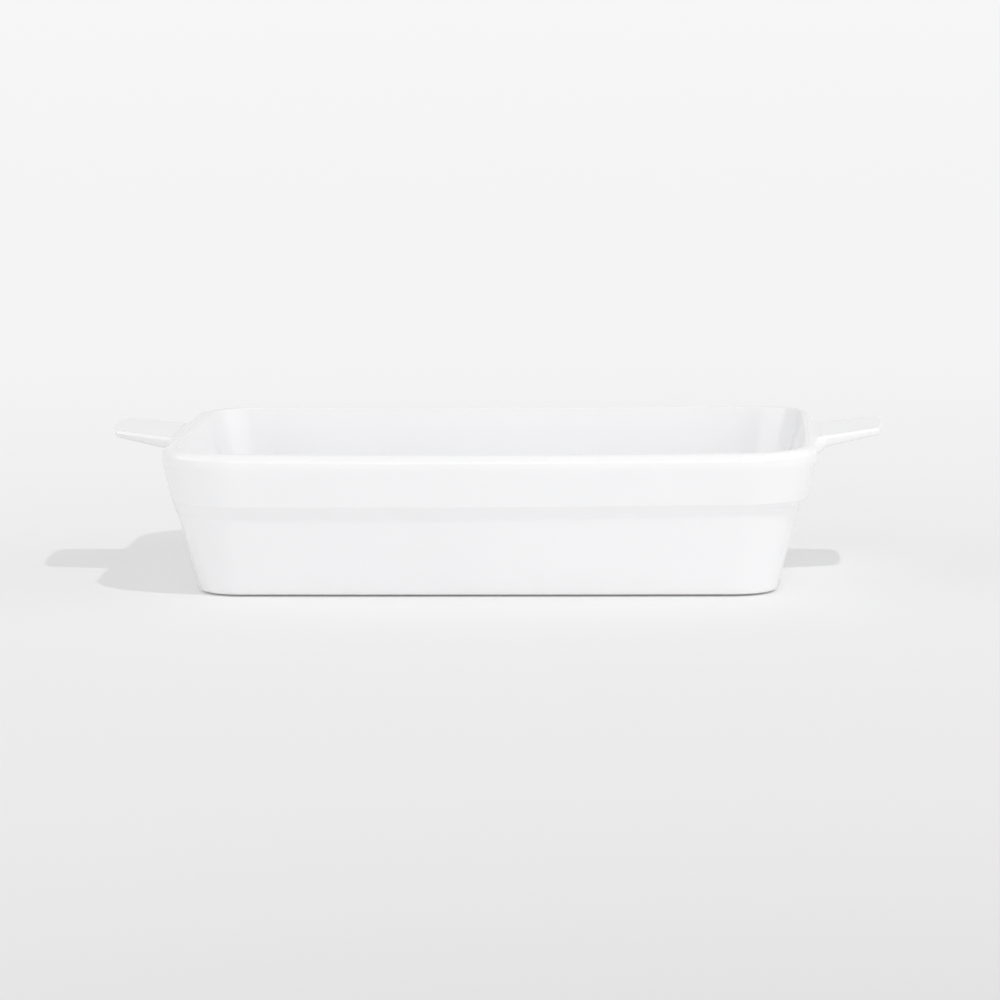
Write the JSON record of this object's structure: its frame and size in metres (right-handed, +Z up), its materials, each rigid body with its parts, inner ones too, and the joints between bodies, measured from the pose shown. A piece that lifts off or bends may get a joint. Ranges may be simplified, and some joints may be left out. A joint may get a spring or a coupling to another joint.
{
  "type": "lasagna dish",
  "caption": "Deep rectangular white-glazed stoneware oven dish with flared walls, a thick banded rim and a tab handle at each end.",
  "frame": {"origin": "on the surface that the dish stands on, under the middle of the dish", "axes": "+X along the dish from handle to handle, +Y across it, +Z up"},
  "size_m": [0.422, 0.244, 0.082],
  "materials": {
    "white_glaze": "soft gloss white glaze, pooled in the creases and thinner on the edges",
    "bare_stoneware": "matt unglazed clay"
  },
  "bodies": {
    "root": {"basin": "white_glaze", "rim_band": "white_glaze", "handle_left": "white_glaze", "handle_right": "white_glaze", "foot_ring": "bare_stoneware"}
  },
  "joints": []
}
